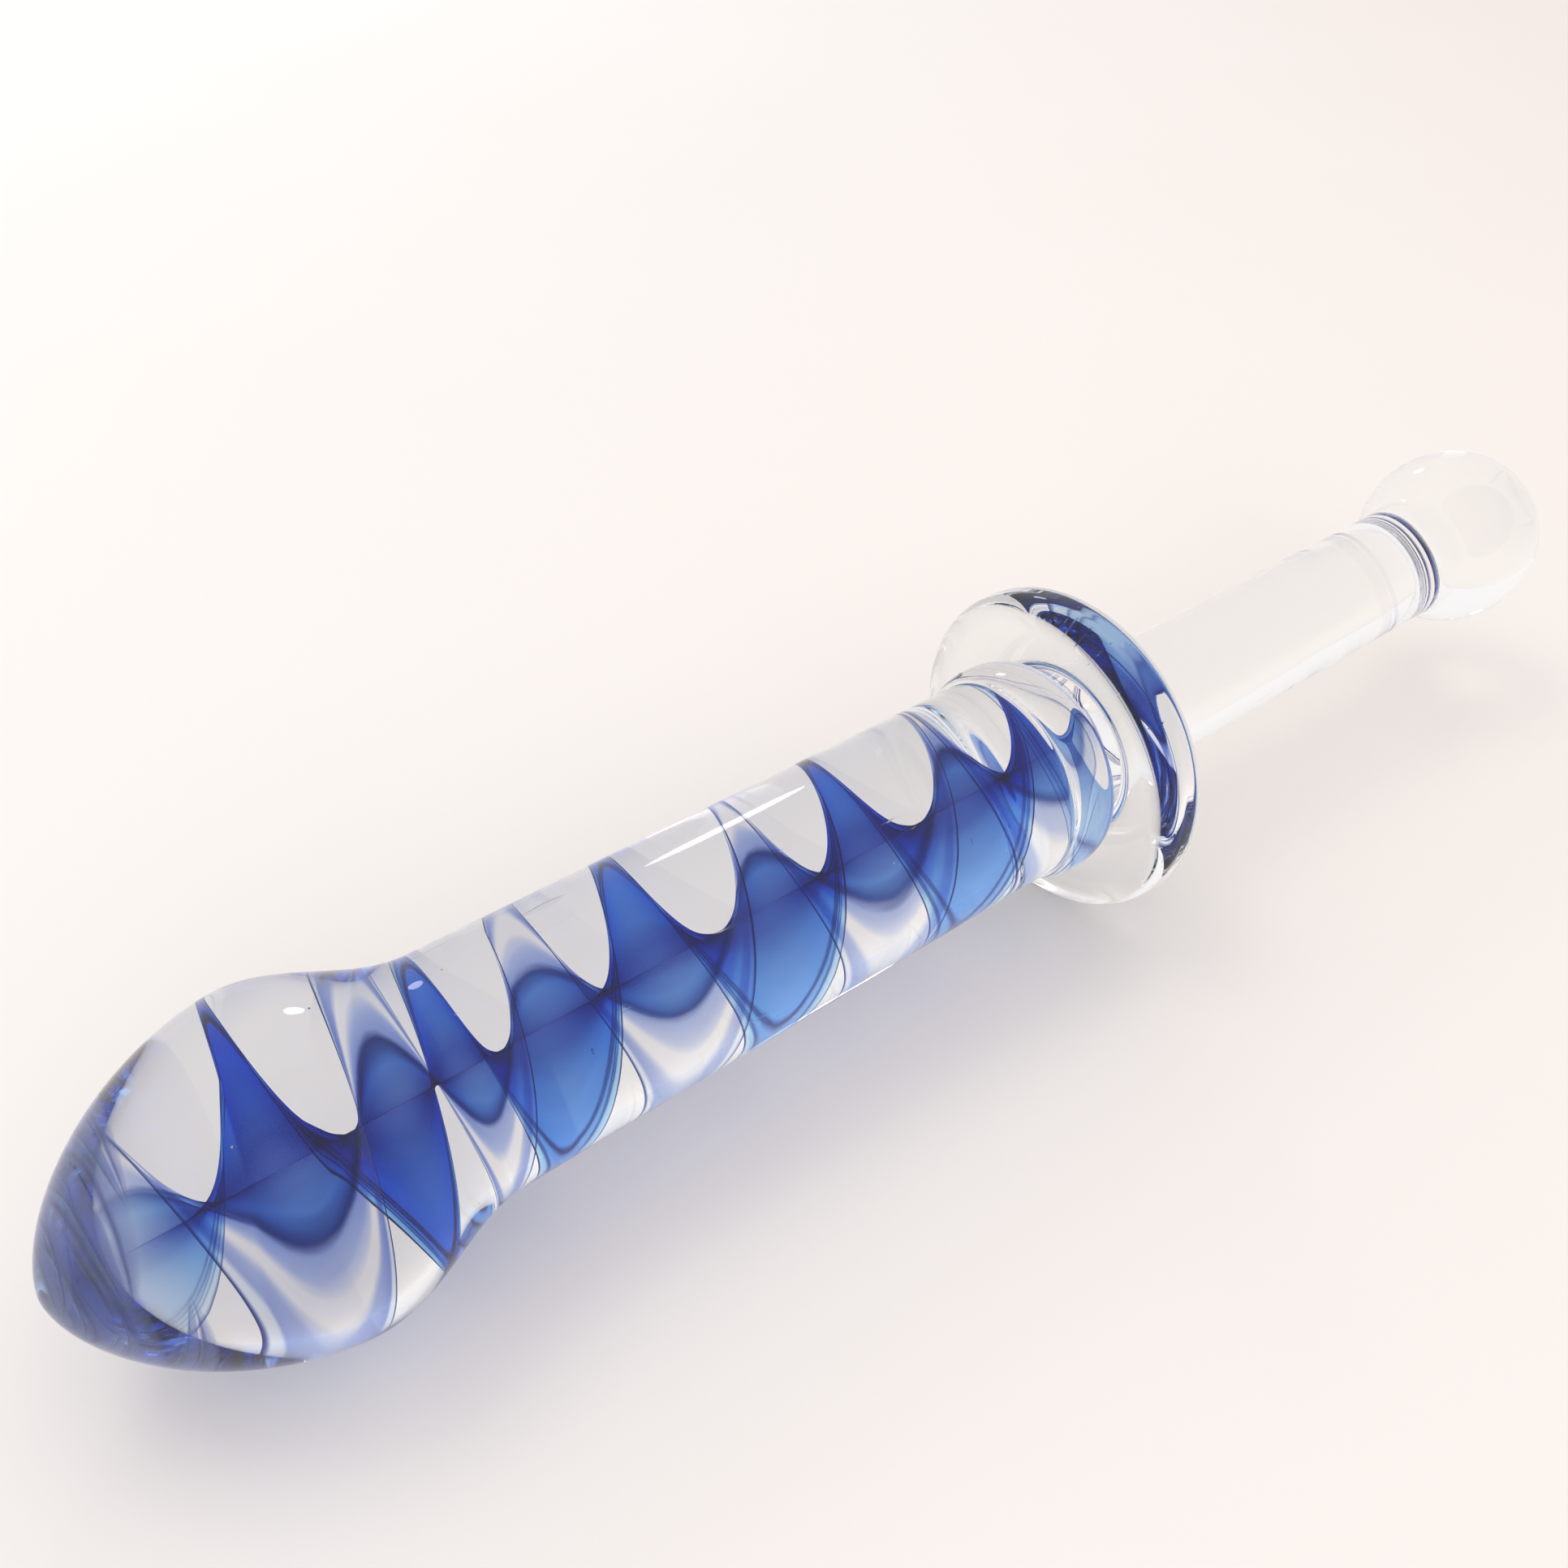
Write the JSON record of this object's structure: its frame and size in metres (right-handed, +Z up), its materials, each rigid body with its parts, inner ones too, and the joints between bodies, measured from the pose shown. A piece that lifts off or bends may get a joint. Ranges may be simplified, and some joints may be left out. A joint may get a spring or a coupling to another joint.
{
  "type": "solid glass wand",
  "caption": "Solid clear glass wand with a domed head, a blue ribbon twisted inside its shaft, a round guard, a slim handle and a ball end.",
  "frame": {"origin": "on the table, under the middle of the wand's length, as it lies at rest on its head and on the rim of its guard", "axes": "+X from the head to the ball end, along the table under the wand's axis; +Y to the side; +Z up. The wand's own axis rises about 2 degrees towards the ball."},
  "size_m": [0.22, 0.0412, 0.0412],
  "materials": {
    "clear_glass": "clear fire-polished borosilicate glass, colourless, with faint surface marks",
    "cobalt_glass": "transparent cobalt blue glass, in streaks along the twist",
    "pale_glass": "thin lavender blue glass with milky streaks"
  },
  "bodies": {
    "root": {"head_dome": "clear_glass", "shaft": "clear_glass", "cobalt_ribbon": "cobalt_glass", "pale_ribbon": "pale_glass", "neck_ring": "clear_glass", "guard": "clear_glass", "handle": "clear_glass", "ball": "clear_glass"}
  },
  "joints": []
}
